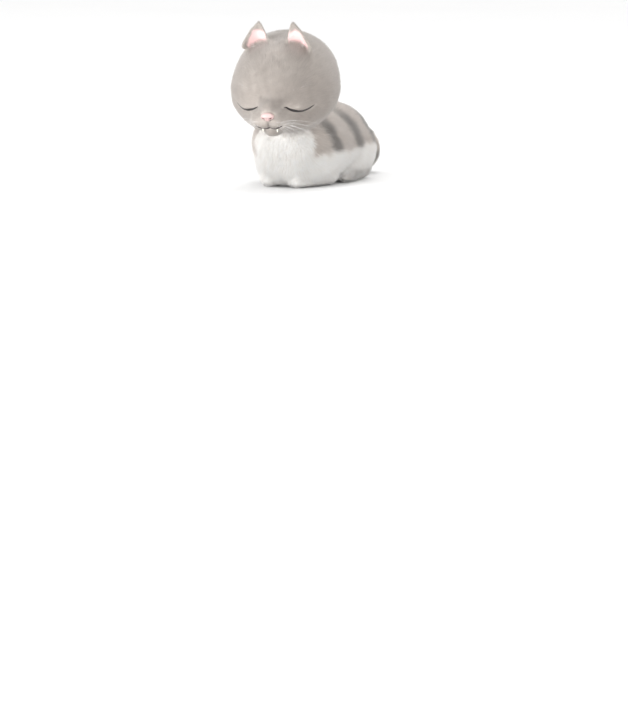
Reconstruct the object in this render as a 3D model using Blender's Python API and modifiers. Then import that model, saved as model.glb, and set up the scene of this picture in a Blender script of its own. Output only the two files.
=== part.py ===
"""A young domestic cat asleep in the loaf pose, life size: paws tucked under, head up and a little bowed.

The cat faces -Y with its back up (+Z) and its own left side at +X. The floor is z = 0, and the origin is on
the flat under its belly. Every solid runs out to the tips of the coat. Each part of the body is a few rounded
forms melted into one; a part that lies in or against another is cut out of it, with a thin gap between them.
"""

import math

import bmesh
import bpy
import numpy as np
from mathutils import Euler, Matrix, Vector

MM = 0.001
BODY = 134 * MM  # length of the trunk, breast to rump
HEAD = 98 * MM  # width of the head over the cheek fur
GAP = 0.3 * MM  # between neighbouring parts
UP = Vector((0, 0, 1))

HEAD_PLACE = Vector((2 * MM, -45 * MM, 94 * MM))  # the middle of the skull
HEAD_BOW = math.radians(18)
HEAD_TURN = math.radians(10)  # towards the cat's left
HEAD_FRAME = Matrix.Translation(HEAD_PLACE) @ Euler((HEAD_BOW, 0, HEAD_TURN)).to_matrix().to_4x4()
BODY_FRAME = Matrix.Identity(4)

COAT_GREY = (0.52, 0.47, 0.43)
COAT_WHITE = (0.86, 0.84, 0.80)
SKIN_PINK = (0.80, 0.47, 0.45)
TOOTH_WHITE = (0.93, 0.91, 0.84)
COAT_ROUGHNESS = 0.9
NOSE_ROUGHNESS = 0.45
TOOTH_ROUGHNESS = 0.25

# Rounded forms as (middle, half sizes), in head widths from the middle of the skull, the face towards -Y.
# A form off the middle plane is made on both sides.
SKULL_FORMS = {
    "braincase": ((0, 0.06, 0.045), (0.474, 0.45, 0.415)),
    "forehead": ((0, -0.15, 0.07), (0.345, 0.275, 0.28)),
    "cheek": ((0.220, -0.06, -0.095), (0.265, 0.31, 0.240)),
    "jowl": ((0.12, -0.17, -0.205), (0.22, 0.25, 0.165)),
    "eye_socket": ((0.235, -0.28, -0.055), (0.15, 0.11, 0.11)),
    "nose_bridge": ((0, -0.395, -0.045), (0.095, 0.19, 0.090)),
    "muzzle": ((0, -0.37, -0.160), (0.22, 0.21, 0.13)),
    "whisker_pad": ((0.090, -0.487, -0.168), (0.110, 0.105, 0.082)),
}
JAW_FORMS = {
    "mandible": ((0, -0.26, -0.265), (0.15, 0.22, 0.085)),
    "chin": ((0, -0.445, -0.262), (0.094, 0.105, 0.064)),
}
NOSE_FORMS = {
    "tip": ((0, -0.584, -0.085), (0.060, 0.034, 0.036)),
    "groove": ((0, -0.577, -0.120), (0.024, 0.028, 0.028)),
}
EYE_FORM = ((0.250, -0.318, -0.072), (0.142, 0.104, 0.086))
EYE_YAW = math.radians(30)

TOOTH_PLACE = (0.068, -0.528, -0.226)
TOOTH_ROOT_RADIUS = 1.25 * MM
TOOTH_TIP_RADIUS = 0.25 * MM
TOOTH_LENGTH = 7.5 * MM
TOOTH_LEAN = math.radians(172)  # point downwards, and a little back

EAR_PLACE = Vector((0.222, -0.045, 0.335))  # the foot of the left ear
EAR_STAND = Euler((math.radians(14), math.radians(-5), math.radians(-10)))  # forwards, inwards, and turned in
EAR_HEIGHT = 30 * MM
EAR_WIDTH = 31 * MM
EAR_THICKNESS = 2.6 * MM
EAR_TIP_RADIUS = 0.4 * MM
EAR_TAPER = (1.25, 0.85)  # how an ear narrows with height: 1 is straight
EAR_FOOT = (0.50, 0.22)  # its width at the foot as a share of the full width, and how far up it is full
EAR_CURL = 0.30  # how far its edges come forwards, in ear widths
EAR_OPENING = 0.25  # how much of that curl is gone at the tip
EAR_TIP_LEAN = Vector((-0.11, 0.04)) * EAR_HEIGHT  # how far inwards and back the tip bends
EAR_COLUMNS, EAR_ROWS = 10, 12

# Rounded forms of the body, in body lengths from the middle of the belly flat.
TRUNK_FORMS = {
    "breast": ((0, -0.215, 0.235), (0.260, 0.235, 0.235)),
    "brisket": ((0, -0.200, 0.120), (0.245, 0.215, 0.130)),
    "shoulder": ((0.08, -0.13, 0.295), (0.19, 0.21, 0.18)),
    "belly": ((0, 0.05, 0.225), (0.305, 0.33, 0.235)),
    "loins": ((0, 0.10, 0.300), (0.26, 0.38, 0.200)),
    "rump": ((0, 0.295, 0.262), (0.29, 0.262, 0.250)),
}
NECK_FORMS = {
    "nape": ((0.005, -0.16, 0.41), (0.215, 0.21, 0.16)),
    "throat": ((0, -0.27, 0.33), (0.215, 0.17, 0.17)),
}
# The neck leaves the trunk at a plane from the withers to the breast: a place on it and its lean forwards.
NECK_PLACE = Vector((0, -0.15, 0.375)) * BODY
NECK_LEAN = math.radians(33)
FORELEG_FORMS = {
    "upper_arm": ((0.165, -0.13, 0.13), (0.095, 0.15, 0.12)),
    "elbow": ((0.190, -0.07, 0.075), (0.072, 0.08, 0.072)),
}
HINDLEG_FORMS = {
    "thigh": ((0.218, 0.29, 0.205), (0.122, 0.205, 0.175)),
    "knee": ((0.235, 0.18, 0.13), (0.082, 0.12, 0.11)),
    "hock": ((0.205, 0.41, 0.065), (0.058, 0.070, 0.068)),
}
# Limbs as (place, radius) along their length, in body lengths.
FOREARM = [
    ((0.190, -0.070, 0.060), 0.064),
    ((0.170, -0.16, 0.057), 0.062),
    ((0.140, -0.26, 0.057), 0.062),
    ((0.117, -0.335, 0.061), 0.065),
    ((0.092, -0.345, 0.059), 0.062),
    ((0.076, -0.29, 0.050), 0.057),
]
HIND_FOOT = [
    ((0.205, 0.41, 0.058), 0.057),
    ((0.228, 0.31, 0.050), 0.054),
    ((0.246, 0.19, 0.048), 0.054),
    ((0.250, 0.13, 0.046), 0.059),
    ((0.244, 0.085, 0.041), 0.050),
]
TAIL = [
    ((0.000, 0.430, 0.275), 0.086),
    ((0.040, 0.550, 0.295), 0.080),
    ((0.090, 0.650, 0.265), 0.073),
    ((0.110, 0.725, 0.180), 0.069),
    ((0.065, 0.770, 0.095), 0.066),
    ((-0.040, 0.780, 0.062), 0.063),
    ((-0.165, 0.735, 0.056), 0.058),
    ((-0.280, 0.645, 0.050), 0.052),
    ((-0.365, 0.530, 0.041), 0.043),
    ((-0.400, 0.435, 0.026), 0.026),
]
TAIL_LENGTHS = ["tail_root", "tail_middle", "tail_tip"]
TAIL_CUTS = (0.46, 0.72)  # places of the cuts, as shares of the stops
CUT_SEGMENTS = 24

ROUTE_STEPS = 6  # places on a limb's route between two stops
BLEND = 0.62  # how far two forms melt into each other, as a share of the smaller form's least half size
PROBE = 0.1 * MM  # step for measuring which way a blended surface faces
LEAST_SLOPE = 0.05  # keeps a step onto the blended surface short where it is flat
BALL_DETAIL = 4
CREASE = math.radians(38)  # edges sharper than this stay sharp when shaded
# Size of the faces while a part is melted together, in mm, and about how many triangles it keeps.
DETAIL = {
    "head": (1.4, 1500), "jaw": (1.2, 220), "nose": (0.6, 150), "eye": (0.8, 140), "ear": (0.8, 340),
    "torso": (2.2, 1400), "tail": (1.6, 460), "foreleg": (1.6, 360), "hindleg": (1.6, 440),
}


def empty_scene():
    for thing in list(bpy.data.objects):
        bpy.data.objects.remove(thing)


def collection(name):
    made = bpy.data.collections.new(name)
    bpy.context.scene.collection.children.link(made)
    return made


def material(name, colour, roughness):
    made = bpy.data.materials.new(name)
    made.use_nodes = True
    shader = made.node_tree.nodes["Principled BSDF"]
    shader.inputs["Base Color"].default_value = (*colour, 1)
    shader.inputs["Roughness"].default_value = roughness
    shader.inputs["Metallic"].default_value = 0
    return made


def mirrored(place, side):
    return Vector((place[0] * side, place[1], place[2]))


class Ball:
    """An ellipsoid: a form of the body, placed in a frame whose unit is scale."""

    def __init__(self, frame, scale, form, side=1, yaw=0.0):
        middle, half = form
        turn = Matrix.Rotation(yaw * side, 4, "Z")
        self.place = frame @ Matrix.Translation(mirrored(middle, side) * scale) @ turn
        self.half = Vector(half) * scale
        self.blend = BLEND * min(self.half)

    def matrices(self):
        """The matrix that makes a unit ball into this form, in a list."""
        return [self.place @ Matrix.Diagonal((*self.half, 1))]

    def distance(self, points):
        """About how far each point is outside the form."""
        turn, half = np.array(self.place.to_3x3()), np.array(self.half)
        local = (points - np.array(self.place.translation)) @ turn / half
        reach = np.linalg.norm(local, axis=1)
        steepness = np.maximum(np.linalg.norm(local / half, axis=1), 1e-9)
        return reach * (reach - 1) / steepness


class Limb:
    """A tube of changing radius along a smooth route through its stops."""

    def __init__(self, stops, side=1):
        self.route = [
            (Vector((x * side, y, z)) * BODY, radius * BODY)
            for x, y, z, radius in smooth_route(stops)
        ]
        self.blend = BLEND * min(radius for _, radius in self.route)

    def matrices(self):
        """Balls close together along the route, which remeshing makes into one tube."""
        return [Matrix.Translation(place) @ Matrix.Scale(radius, 4) for place, radius in self.route]

    def distance(self, points):
        nearest = np.full(len(points), np.inf)
        for (start, first), (end, last) in zip(self.route, self.route[1:]):
            along = np.array(end - start)
            offset = points - np.array(start)
            share = np.clip(offset @ along / (along @ along), 0, 1)
            gap = np.linalg.norm(offset - share[:, None] * along, axis=1)
            nearest = np.minimum(nearest, gap - first - share * (last - first))
        return nearest


def balls(frame, scale, forms):
    """Each form once, or on both sides where it stands off the middle plane."""
    for form in forms.values():
        off_middle = form[0][0] > BLEND * min(form[1]) / 4
        for side in (1, -1) if off_middle else (1,):
            yield Ball(frame, scale, form, side)


def smooth_route(stops):
    """(place, radius) points along a smooth curve through the stops, by Catmull-Rom."""
    points = [Vector((*place, radius)) for place, radius in stops]
    points = [2 * points[0] - points[1], *points, 2 * points[-1] - points[-2]]
    route = []
    for a, b, c, d in zip(points, points[1:], points[2:], points[3:]):
        for step in range(ROUTE_STEPS):
            t = step / ROUTE_STEPS
            route.append(
                0.5 * (2 * b + (c - a) * t + (2 * a - 5 * b + 4 * c - d) * t**2
                       + (3 * b - a - 3 * c + d) * t**3)
            )
    return [*route, points[-2]]


def blended(shapes, points):
    """How far each point is outside the shapes melted together."""
    total = shapes[0].distance(points)
    for shape in shapes[1:]:
        other = shape.distance(points)
        share = np.clip(0.5 + 0.5 * (total - other) / shape.blend, 0, 1)
        total = total * (1 - share) + other * share - shape.blend * share * (1 - share)
    return total


def settle(mesh, shapes, rounds):
    """Slides a mesh's vertices onto the surface of the melted shapes."""
    points = np.empty(len(mesh.vertices) * 3)
    mesh.vertices.foreach_get("co", points)
    points = points.reshape(-1, 3)
    for _ in range(rounds):
        slope = np.stack([
            blended(shapes, points + step) - blended(shapes, points - step)
            for step in np.eye(3) * PROBE
        ], axis=1) / (2 * PROBE)
        steepness = np.maximum((slope**2).sum(axis=1), LEAST_SLOPE)
        points -= slope * (blended(shapes, points) / steepness)[:, None]
    mesh.vertices.foreach_set("co", points.ravel())
    mesh.update()


def finished(bm):
    """A mesh of what is in bm, which is freed."""
    mesh = bpy.data.meshes.new("made")
    bm.to_mesh(mesh)
    bm.free()
    return mesh


def evaluated_mesh(thing):
    """The object's mesh with its modifiers applied; the object is removed."""
    graph = bpy.context.evaluated_depsgraph_get()
    mesh = bpy.data.meshes.new_from_object(thing.evaluated_get(graph))
    bpy.data.objects.remove(thing)
    return mesh


def remeshed(mesh, voxel, smoothing):
    """The mesh as one closed skin of even triangles, softened a little."""
    thing = bpy.data.objects.new("melting", mesh)
    HELPERS.objects.link(thing)
    remesh = thing.modifiers.new("melt", "REMESH")
    remesh.mode = "VOXEL"
    remesh.voxel_size = voxel
    soften = thing.modifiers.new("soften", "SMOOTH")
    soften.factor = 0.5
    soften.iterations = smoothing
    thing.modifiers.new("triangles", "TRIANGULATE")
    return evaluated_mesh(thing)


def thinned(mesh, triangles):
    """The mesh with about that many triangles."""
    thing = bpy.data.objects.new("thinning", mesh)
    HELPERS.objects.link(thing)
    fewer = thing.modifiers.new("fewer", "DECIMATE")
    fewer.ratio = min(1.0, triangles / len(mesh.polygons))
    return evaluated_mesh(thing)


def melted(shapes, kind):
    """One smooth closed mesh of these shapes melted into each other, as finely as this kind of part needs."""
    shapes = list(shapes)
    voxel, triangles = DETAIL[kind]
    bm = bmesh.new()
    for shape in shapes:
        for matrix in shape.matrices():
            bmesh.ops.create_icosphere(bm, subdivisions=BALL_DETAIL, radius=1, matrix=matrix)
    mesh = remeshed(finished(bm), voxel * MM, smoothing=4)
    settle(mesh, shapes, rounds=4)
    mesh = remeshed(mesh, voxel * MM, smoothing=2)
    settle(mesh, shapes, rounds=2)
    return thinned(mesh, triangles)


def part(name, mesh, finish):
    """A named part of the cat in its own material."""
    thing = bpy.data.objects.new(name, mesh)
    CAT.objects.link(thing)
    mesh.materials.clear()
    mesh.materials.append(finish)
    mesh.shade_smooth()
    return thing


def cut(target, cutter_mesh, operation="DIFFERENCE"):
    """Cuts target with a mesh, and keeps its name and material."""
    cutter = bpy.data.objects.new("cutter", cutter_mesh)
    HELPERS.objects.link(cutter)
    boolean = target.modifiers.new("cut", "BOOLEAN")
    boolean.object = cutter
    boolean.operation = operation
    boolean.solver = "EXACT"
    graph = bpy.context.evaluated_depsgraph_get()
    mesh = bpy.data.meshes.new_from_object(target.evaluated_get(graph))
    target.modifiers.clear()
    target.data = mesh
    bpy.data.objects.remove(cutter)


def swollen(mesh, by=GAP):
    """A copy of a mesh, grown outwards along its normals."""
    grown = mesh.copy()
    normals = [vertex.normal.copy() for vertex in grown.vertices]
    for vertex, normal in zip(grown.vertices, normals):
        vertex.co += normal * by
    return grown


def cut_out(target, *neighbours):
    """Removes from target the room of its neighbours' whole shapes, and a thin gap round them."""
    for neighbour in neighbours:
        cut(target, swollen(WHOLE[neighbour.name]))


def block(place, facing):
    """A block far larger than the cat, with the middle of one face at this place, facing this way."""
    bm = bmesh.new()
    size = 4 * BODY
    turn = facing.to_track_quat("Z", "Y").to_matrix().to_4x4()
    below = Matrix.Translation((0, 0, -size / 2))
    bmesh.ops.create_cube(bm, size=size, matrix=Matrix.Translation(place) @ turn @ below)
    return finished(bm)


def bodies_of(mesh):
    """The connected pieces of a mesh as sets of vertex numbers, the largest first."""
    bm = bmesh.new()
    bm.from_mesh(mesh)
    seen, found = set(), []
    for start in bm.verts:
        if start.index in seen:
            continue
        body, edge = {start.index}, [start]
        while edge:
            for link in edge.pop().link_edges:
                for vertex in link.verts:
                    if vertex.index not in body:
                        body.add(vertex.index)
                        edge.append(vertex)
        seen |= body
        found.append(body)
    bm.free()
    return sorted(found, key=len, reverse=True)


def keep_bodies(thing, names):
    """Makes a part of each of the largest pieces, the highest first, and drops the crumbs of the cuts."""
    whole, finish = thing.data, thing.data.materials[0]
    found = bodies_of(whole)[: len(names)]
    found.sort(key=lambda body: -max(whole.vertices[number].co.z for number in body))
    bpy.data.objects.remove(thing)
    for name, body in zip(names, found):
        bm = bmesh.new()
        bm.from_mesh(whole)
        others = [vertex for vertex in bm.verts if vertex.index not in body]
        bmesh.ops.delete(bm, geom=others, context="VERTS")
        mesh = finished(bm)
        part(name, mesh, finish)
        mesh.set_sharp_from_angle(angle=CREASE)


def slice_tail(tail):
    """Parts the tail into its lengths with thin round cuts."""
    route = Limb(TAIL).route
    for share in TAIL_CUTS:
        at = round(share * (len(route) - 1))
        (place, radius), (after, _) = route[at], route[at + 1]
        turn = (after - place).to_track_quat("Z", "Y").to_matrix().to_4x4()
        bm = bmesh.new()
        bmesh.ops.create_cone(
            bm, cap_ends=True, segments=CUT_SEGMENTS, radius1=2 * radius, radius2=2 * radius,
            depth=GAP, matrix=Matrix.Translation(place) @ turn,
        )
        cut(tail, finished(bm))


def eye_mesh(side):
    """The closed lids over one eye."""
    return melted([Ball(HEAD_FRAME, HEAD, EYE_FORM, side, EYE_YAW)], "eye")


def tooth_mesh(side):
    """The tip of an upper canine, which shows under the lip."""
    bm = bmesh.new()
    place = HEAD_FRAME @ Matrix.Translation(mirrored(TOOTH_PLACE, side) * HEAD)
    bmesh.ops.create_cone(
        bm, cap_ends=True, segments=10, radius1=TOOTH_ROOT_RADIUS, radius2=TOOTH_TIP_RADIUS,
        depth=TOOTH_LENGTH, matrix=place @ Matrix.Rotation(TOOTH_LEAN, 4, "X"),
    )
    return finished(bm)


def ear_sheet():
    """The left ear as a sheet that narrows to its tip and curls forwards at its edges, foot at the origin."""
    bm = bmesh.new()
    bmesh.ops.create_grid(bm, x_segments=EAR_COLUMNS, y_segments=EAR_ROWS, size=1)
    bend, power = EAR_TAPER
    foot, full = EAR_FOOT
    for vertex in bm.verts:
        across, up = vertex.co.x, (vertex.co.y + 1) / 2
        share = (1 - up**bend) ** power * min(1, foot + (1 - foot) * up / full)
        half = EAR_WIDTH / 2 * share + EAR_TIP_RADIUS
        curl = EAR_WIDTH * EAR_CURL * share * across**2 * (1 - EAR_OPENING * up)
        vertex.co = Vector((
            half * across + EAR_TIP_LEAN.x * up**2,
            EAR_TIP_LEAN.y * up - curl,
            EAR_HEIGHT * up,
        ))
    return finished(bm)


def ear_mesh(side):
    """An ear: the sheet given its thickness, on its side of the head."""
    voxel, triangles = DETAIL["ear"]
    thing = bpy.data.objects.new("ear", ear_sheet())
    HELPERS.objects.link(thing)
    thick = thing.modifiers.new("thickness", "SOLIDIFY")
    thick.thickness = EAR_THICKNESS
    thick.offset = 0
    mesh = thinned(remeshed(evaluated_mesh(thing), voxel * MM, smoothing=3), triangles)
    mesh.transform(Matrix.Translation(EAR_PLACE * HEAD) @ EAR_STAND.to_matrix().to_4x4())
    if side < 0:
        mesh.transform(Matrix.Diagonal((-1, 1, 1, 1)))
        mesh.flip_normals()
    mesh.transform(HEAD_FRAME)
    return mesh


def leg_mesh(forms, limb, side, kind):
    shapes = [Ball(BODY_FRAME, BODY, form, side) for form in forms.values()]
    return melted([*shapes, Limb(limb, side)], kind)


def make_parts():
    """Every part in its place, not yet cut to fit its neighbours."""
    grey = material("coat_grey", COAT_GREY, COAT_ROUGHNESS)
    white = material("coat_white", COAT_WHITE, COAT_ROUGHNESS)
    pink = material("skin_pink", SKIN_PINK, NOSE_ROUGHNESS)
    enamel = material("tooth_white", TOOTH_WHITE, TOOTH_ROUGHNESS)
    part("head", melted(balls(HEAD_FRAME, HEAD, SKULL_FORMS), "head"), grey)
    part("jaw", melted(balls(HEAD_FRAME, HEAD, JAW_FORMS), "jaw"), grey)
    part("nose", melted(balls(HEAD_FRAME, HEAD, NOSE_FORMS), "nose"), pink)
    torso = melted(balls(BODY_FRAME, BODY, {**TRUNK_FORMS, **NECK_FORMS}), "torso")
    part("neck", torso.copy(), grey)
    part("trunk", torso, grey)
    part("tail", melted([Limb(TAIL)], "tail"), grey)
    for word, side in (("left", 1), ("right", -1)):
        part(f"eye_{word}", eye_mesh(side), grey)
        part(f"ear_{word}", ear_mesh(side), grey)
        part(f"canine_{word}", tooth_mesh(side), enamel)
        part(f"foreleg_{word}", leg_mesh(FORELEG_FORMS, FOREARM, side, "foreleg"), white)
        part(f"hindleg_{word}", leg_mesh(HINDLEG_FORMS, HIND_FOOT, side, "hindleg"), white)


def fit_together():
    """Cuts the flats under the cat, parts the neck from the trunk, and cuts neighbours out of each other."""
    made = {thing.name: thing for thing in CAT.objects}
    head, jaw, neck, trunk, tail = (made[name] for name in ("head", "jaw", "neck", "trunk", "tail"))
    eyes, ears, teeth, forelegs, hindlegs = (
        [made[f"{kind}_{word}"] for word in ("left", "right")]
        for kind in ("eye", "ear", "canine", "foreleg", "hindleg")
    )
    for thing in (trunk, tail, *forelegs, *hindlegs):
        cut(thing, block(Vector(), UP))
    forwards = Euler((NECK_LEAN, 0, 0)).to_matrix() @ UP
    cut(neck, block(NECK_PLACE + forwards * GAP / 2, forwards))
    cut(trunk, block(NECK_PLACE - forwards * GAP / 2, -forwards))
    WHOLE.update((name, thing.data.copy()) for name, thing in made.items())
    cut_out(jaw, *teeth)
    cut_out(head, jaw, made["nose"], *eyes, *teeth)
    for ear in ears:
        cut_out(ear, head)
    cut_out(neck, head, jaw, *forelegs)
    cut_out(trunk, head, jaw, *forelegs, *hindlegs)
    cut_out(tail, trunk, *hindlegs)
    slice_tail(tail)
    for thing in list(CAT.objects):
        keep_bodies(thing, [thing.name] if thing != tail else TAIL_LENGTHS)


WHOLE = {}  # each part's mesh before its neighbours cut it
empty_scene()
CAT = collection("domestic_cat")
HELPERS = collection("helpers")
make_parts()
fit_together()
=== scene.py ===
"""The looks of a sleeping kitten: one skin under a coat of solid tufts, and the bare parts of its face.

Everything is in metres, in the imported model's frame: the cat faces -Y, its own left side is +X, and the
floor is z = 0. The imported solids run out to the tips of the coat, so the skin lies inside them by the
coat's depth.
"""

import math

import bmesh
import bpy
import numpy as np
from mathutils import Euler, Matrix, Vector
from mathutils.bvhtree import BVHTree
from mathutils.kdtree import KDTree


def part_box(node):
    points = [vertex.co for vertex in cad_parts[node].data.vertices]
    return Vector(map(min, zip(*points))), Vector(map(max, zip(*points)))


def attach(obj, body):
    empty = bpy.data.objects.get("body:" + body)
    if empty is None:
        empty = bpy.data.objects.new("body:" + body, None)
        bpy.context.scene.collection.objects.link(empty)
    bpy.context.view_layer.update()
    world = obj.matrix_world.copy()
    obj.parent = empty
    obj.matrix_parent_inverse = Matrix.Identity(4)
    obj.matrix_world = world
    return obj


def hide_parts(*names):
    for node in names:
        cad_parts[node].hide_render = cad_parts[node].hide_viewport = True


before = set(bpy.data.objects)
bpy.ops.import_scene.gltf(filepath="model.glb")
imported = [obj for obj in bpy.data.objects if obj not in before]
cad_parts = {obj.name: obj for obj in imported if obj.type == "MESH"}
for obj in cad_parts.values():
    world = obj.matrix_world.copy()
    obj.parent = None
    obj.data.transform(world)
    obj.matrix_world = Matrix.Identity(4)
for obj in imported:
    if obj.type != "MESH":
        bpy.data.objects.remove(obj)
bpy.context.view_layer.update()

MM = 0.001
BODY = 134 * MM  # length of the trunk, as in the CAD
HEAD = 98 * MM  # width of the head, as in the CAD
HEAD_PLACE = np.array((2, -45, 94)) * MM  # the middle of the skull
HEAD_TURN = np.array(Euler((math.radians(18), 0, math.radians(10))).to_matrix())
UP = np.array((0.0, 0.0, 1.0))

FLESH = sorted(set(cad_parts) - {"nose", "canine_left", "canine_right"})
REGIONS = {
    "head": ("head", "jaw", "eye_left", "eye_right"),
    "ear": ("ear_left", "ear_right"),
    "neck": ("neck",),
    "trunk": ("trunk",),
    "foreleg": ("foreleg_left", "foreleg_right"),
    "hindleg": ("hindleg_left", "hindleg_right"),
    "tail": ("tail_root", "tail_middle", "tail_tip"),
}
SKIN_STEP = 1.25 * MM  # size of the skin's faces

# Depth of the coat over the skin, in mm.
DEPTH = {
    "head": 3.6, "ear": 0.75, "neck": 5.0, "trunk": 5.0,
    "foreleg": 2.6, "hindleg": 3.4, "tail": 3.6,
}
FACE_DEPTH = 1.9  # on the short-haired front of the face
LEAST_DEPTH = 0.6 * MM  # where the face's relief rises through the coat's outline

# The coat's tufts by region: length and root width in mm, and how many to a square millimetre.
TUFTS = {
    "head": (6.5, 0.42, 3.3),
    "face": (2.6, 0.30, 6.5),
    "ear": (2.8, 0.29, 6.0),
    "neck": (9.5, 0.42, 4.0),
    "trunk": (9.5, 0.40, 4.7),
    "foreleg": (6.0, 0.38, 4.2),
    "hindleg": (7.5, 0.40, 4.0),
    "tail": (8.5, 0.44, 3.6),
}

# One tuft is a long spike: three corners at its foot, given across and up in widths, and then its tip.
TUFT_FOOT = ((-0.5, 0.0), (0.5, 0.0), (0.0, 0.55))
TUFT_ALONG = np.array((0.0, 0.0, 0.0, 1.0))  # how far along the tuft each of its four corners is
TUFT_ACROSS = np.array((-0.5, 0.5, 0.0, 0.0))
TUFT_FACES = np.array(((0, 1, 2), (1, 0, 3), (2, 1, 3), (0, 2, 3)))

# How tufts differ from one another, as shares of each measure.
LENGTH_RANGE = (0.75, 1.15)
WIDTH_RANGE = (0.75, 1.2)
HEIGHT_RANGE = (0.70, 1.12)
LENGTH_WAVE = 0.12  # how far lengths vary together in patches
TUFT_BEND = 0.10  # how far a tip bends to one side
TUFT_TURN = 0.10  # how far a tuft turns by itself from the lie of the coat
LOCK_TURN = 0.22  # how far neighbours turn together
TUFT_TINT = 0.07
LOCK_TINT = 0.05

ROOT_SINK = 0.3 * MM  # how deep a tuft starts in the skin
LOWEST_ROOT = 1.2 * MM  # no tuft grows on the flats that the cat lies on
FLOOR_CLEARANCE = 0.2 * MM
STEEPEST = 0.72  # height of a tuft's tip over the skin at most, as a share of its length
LEAST_REACH = 0.3  # how far a tuft runs along the skin at least, as a share of its length
LOW_COAT = 0.55  # length of the coat at the floor, as a share of its length higher up
LOW_COAT_HEIGHTS = (3 * MM, 20 * MM)
CLOSE_COAT = 0.30  # length of the coat beside the lids, the mouth and the nose, as a share
ROOT_SHADE = 0.92
TIP_SHADE = 1.06
SOFTNESS = 0.7  # how far a tuft's shading follows the skin under it
TIP_TURN = 0.75  # how far the tips' shading turns from the skin's way of facing to the lie of the coat
PATCH = 0.003  # size of a tuft's patch in the bake's layout
MARGIN = 0.01  # bare edge of the bake's layout

# The tail's middle line, in body lengths, as in the CAD.
TAIL_STOPS = [
    (0.000, 0.430, 0.275), (0.040, 0.550, 0.295), (0.090, 0.650, 0.265), (0.110, 0.725, 0.180),
    (0.065, 0.770, 0.095), (-0.040, 0.780, 0.062), (-0.165, 0.735, 0.056), (-0.280, 0.645, 0.050),
    (-0.365, 0.530, 0.041), (-0.400, 0.435, 0.026),
]

# The left ear, as in the CAD: its foot in head widths, how it stands, its size and how it narrows.
EAR_PLACE = np.array((0.222, -0.045, 0.335))
EAR_STAND = np.array(Euler((math.radians(14), math.radians(-5), math.radians(-10))).to_matrix())
EAR_HEIGHT = 30 * MM
EAR_WIDTH = 31 * MM
EAR_TAPER = (1.25, 0.85)
EAR_FOOT = (0.5, 2.3)  # share of the width at the very foot, and how fast it widens from there
EAR_TIP_LEAN = -0.11 * EAR_HEIGHT
EAR_EDGE = 0.4 * MM  # how far the skin's edge lies outside that outline

# Colours of the coat and the bare skin, linear.
GREY = np.array((0.562, 0.503, 0.457))
HEAD_GREY = np.array((0.442, 0.395, 0.360))
# Painted light: the coat on the crown is lighter than on the sides of the head, as if lit from above.
CROWN_PAINTED_LIGHT = np.array((0.500, 0.451, 0.412))
BAND = np.array((0.150, 0.136, 0.127))
MUZZLE = np.array((0.478, 0.432, 0.395))
WHITE = np.array((0.985, 0.950, 0.905))
SHADED_WHITE = np.array((0.955, 0.915, 0.875))
INNER_EAR = np.array((0.98, 0.68, 0.665))
NOSE_PINK = np.array((0.62, 0.45, 0.435))
# Painted shade for the nostrils and the groove between them.
NOSE_PAINTED_SHADE = np.array((0.16, 0.05, 0.05))
SKIN_SHADE = 0.95  # the skin's markings beside the coat's

# The dark bands along the back.
BAND_PLACES = (-21 * MM, 19 * MM, 51 * MM)  # along the body, at the height of the flank
BAND_WIDTH = 15 * MM
BAND_FOOT = 1.45  # width of a band with its soft edges, in band widths
BAND_GAIN = 1.4
BAND_STRENGTH = 0.85
BAND_SLANT = 0.38  # how far back a band runs for each metre down
FLANK_HEIGHT = 38 * MM
SPINE_HEIGHTS = (54 * MM, 67 * MM)
SPINE_FADE = 0.7  # how far the bands fade on the spine
# Painted light: how much lighter the coat is along the top of the back, as if lit from above.
SPINE_PAINTED_LIGHT = 1.20
TAIL_RINGS = 6.5
RING_STRENGTH = 0.75
RING_EDGE = (-0.1, 0.6)

# The white of the belly and the breast. A pair is where a change starts and where it ends.
WHITE_HEIGHT = 34 * MM
WHITE_RISE = 4 * MM  # how much higher it ends towards the rump
RISE_ALONG = (-10 * MM, 60 * MM)
WHITE_SHADE_ALONG = (-50 * MM, -5 * MM)
BIB_PLACE = -43.5 * MM
BIB_SLANT = 0.62  # how far forward the bib's edge runs for each metre up
BIB_WIDENING = 16 * MM  # how much further back the bib reaches in the middle
BIB_MIDDLE = (32 * MM, 18 * MM)
BIB_FOOT = 12 * MM  # how far over the belly's white that widening starts
SHOULDER_PATCH = 32 * MM  # how much further forward the grey reaches on the right shoulder
PATCH_ACROSS = (-17 * MM, -27 * MM)
PATCH_HEIGHTS = (25 * MM, 40 * MM)
WHITE_EDGE = 2.2 * MM
EDGE_WAVES = ((16 * MM, 3, 2.0 * MM), (6 * MM, 4, 0.8 * MM))  # size, seed and height
BAND_WAVES = (16 * MM, 5, 1.3 * MM)

# The crown, paler with painted light from above, and the paler muzzle, in head widths.
CROWN_HEIGHTS = (-0.1, 0.3)
MUZZLE_MIDDLE = (0.0, -0.55, -0.135)
MUZZLE_REACH = (0.185, 0.30, 0.100)
MUZZLE_EDGE = (1.15, 0.85)

# The short-haired front of the face, in head widths.
FACE_MIDDLE = (0.0, -0.50, -0.10)
FACE_STRETCH = (1.0, 1.0, 1.15)
FACE_EDGES = (0.46, 0.22)
FRONT_EDGES = (-0.16, -0.30)

NOSE_MIDDLE = np.array((0.0, -0.60, -0.125))  # where the coat parts, in head widths


# -------- numbers


def unit(vectors):
    """The vectors with length one."""
    return vectors / np.maximum(np.linalg.norm(vectors, axis=-1, keepdims=True), 1e-12)


def dot(a, b):
    """The dot product of each pair of rows."""
    return (a * b).sum(axis=-1)


def mix(a, b, share):
    """a where share is 0, b where it is 1."""
    return a + (b - a) * share


def blend(a, b, share):
    """Rows such as colours or places, a where their share is 0 and b where it is 1."""
    return a + (b - a) * np.asarray(share)[:, None]


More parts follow.
